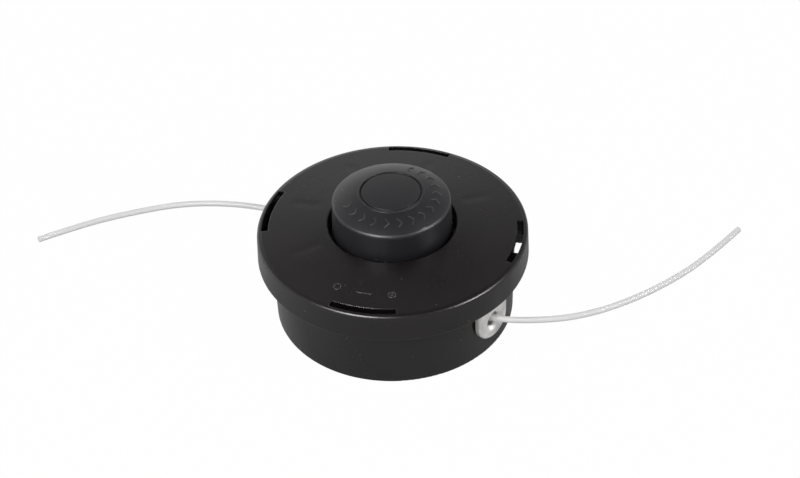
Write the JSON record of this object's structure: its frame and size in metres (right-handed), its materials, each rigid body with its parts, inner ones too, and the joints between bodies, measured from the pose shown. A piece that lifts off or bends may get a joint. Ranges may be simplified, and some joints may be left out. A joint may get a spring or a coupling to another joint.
{
  "type": "trimmer head",
  "caption": "Round bump-feed line trimmer head with a twist-lock cover, a sprung spool with a domed bump knob, metal line eyelets and free ends of nylon cutting line.",
  "frame": {"origin": "on the spindle axis, on the flat gearbox face that the head stands on", "axes": "+Z along the spindle towards the bump knob, +X to the right in the picture, -Y towards the viewer"},
  "size_m": [0.2977, 0.1112, 0.0587],
  "materials": {
    "housing_plastic": "satin moulded black",
    "cover_plastic": "satin moulded black",
    "knob_plastic": "satin moulded black",
    "spool_plastic": "moulded black",
    "spring_steel": "bright drawn",
    "nut_steel": "zinc plated",
    "nylon_line": "clear white nylon",
    "eyelet_metal": "tumbled bare metal"
  },
  "bodies": {
    "housing": {"housing": "housing_plastic", "hub": "housing_plastic", "drive_nut": "nut_steel", "eyelet_right": "eyelet_metal", "eyelet_left": "eyelet_metal", "line_right": "nylon_line", "line_left": "nylon_line", "return_spring": "spring_steel"},
    "cover": {"cover": "cover_plastic"},
    "washer": {"thrust_washer": "spring_steel"},
    "reel": {"spool": "spool_plastic", "bump_knob": "knob_plastic", "winding_lower": "nylon_line", "winding_upper": "nylon_line"}
  },
  "joints": [
    {"name": "cover_twist", "type": "hinge", "parent": "housing", "child": "cover", "pos_m": [0, 0, 0.033], "axis": [0, 0, 1], "range_deg": [0, 17]},
    {"name": "bump_travel", "type": "slide", "parent": "housing", "child": "washer", "axis": [0, 0, 1], "range_m": [-0.006, 0], "stiffness_N_per_m": 2500, "springref_m": 0.008, "deforming": ["return_spring"]},
    {"name": "spool_turn", "type": "hinge", "parent": "washer", "child": "reel", "pos_m": [0, 0, 0.03], "axis": [0, 0, 1], "continuous": true}
  ]
}
